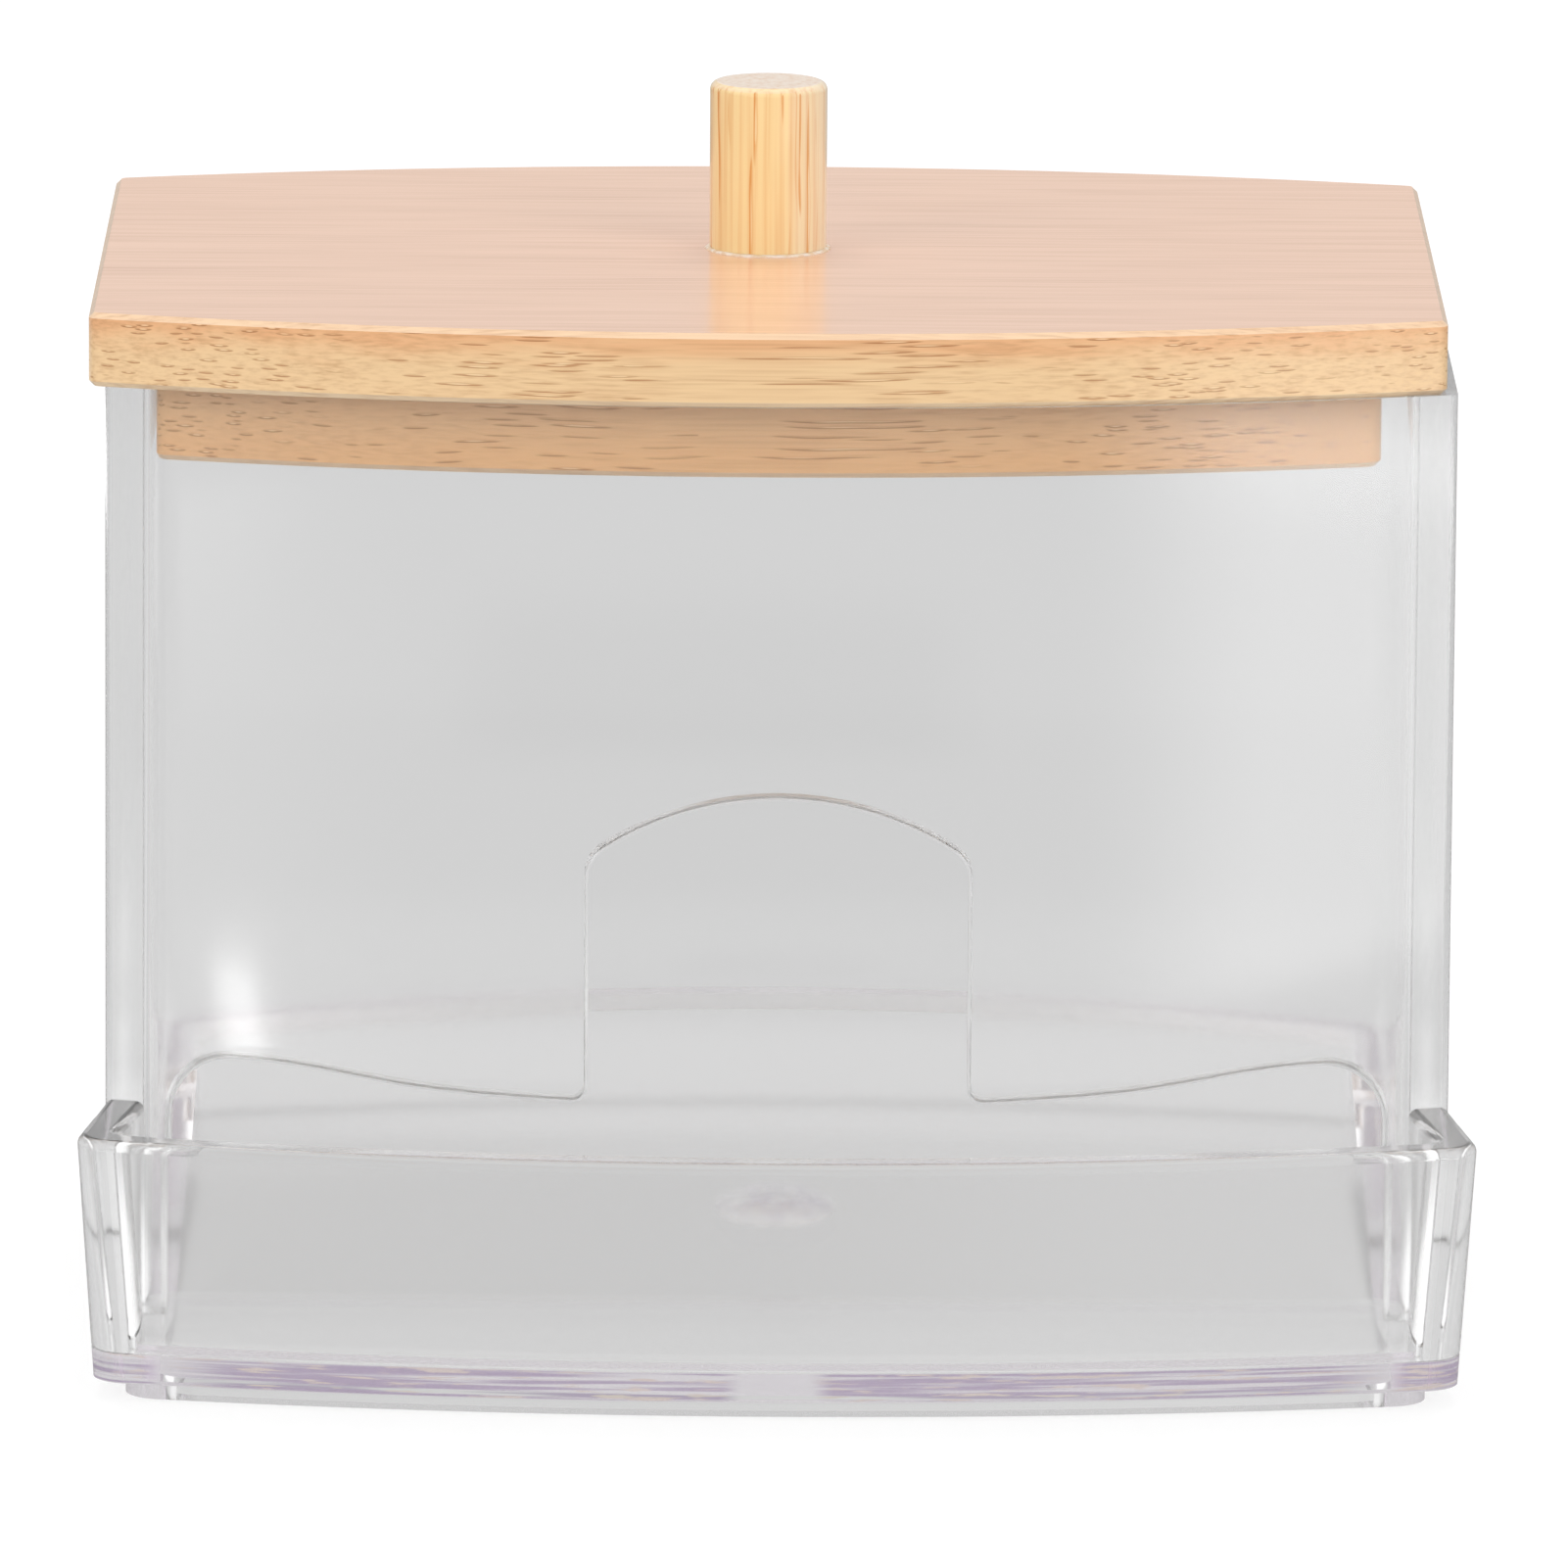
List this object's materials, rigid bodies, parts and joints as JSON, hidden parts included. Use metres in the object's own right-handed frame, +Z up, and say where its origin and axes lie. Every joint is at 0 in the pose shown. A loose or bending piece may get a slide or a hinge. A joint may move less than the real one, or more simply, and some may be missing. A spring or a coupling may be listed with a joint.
{
  "type": "cotton swab box",
  "caption": "Clear box with bowed walls, a sloping floor and a front scoop tray that dispenses cotton swabs, under a lift-off bamboo lid with a dowel knob.",
  "frame": {"origin": "on the table plane, under the middle of the box and tray in plan", "axes": "+X to the right across the box, +Y towards the back wall, +Z up; the tray faces -Y"},
  "size_m": [0.1028, 0.0913, 0.0918],
  "materials": {
    "clear_shell": "polished clear moulded plastic",
    "clear_base": "polished clear moulded plastic, faint violet edge",
    "bamboo_lid": "lacquered bamboo, satin gloss",
    "bamboo_plug": "sanded bamboo, low sheen",
    "bamboo_knob": "lacquered bamboo dowel, satin gloss"
  },
  "bodies": {
    "box": {"box_shell": "clear_shell", "base_ramp": "clear_base"},
    "lid": {"lid_board": "bamboo_lid", "plug_board": "bamboo_plug", "knob": "bamboo_knob"}
  },
  "joints": [
    {"name": "lid_lift", "type": "slide", "parent": "box", "child": "lid", "axis": [0, 0, 1], "range_m": [0, 0.04]}
  ]
}
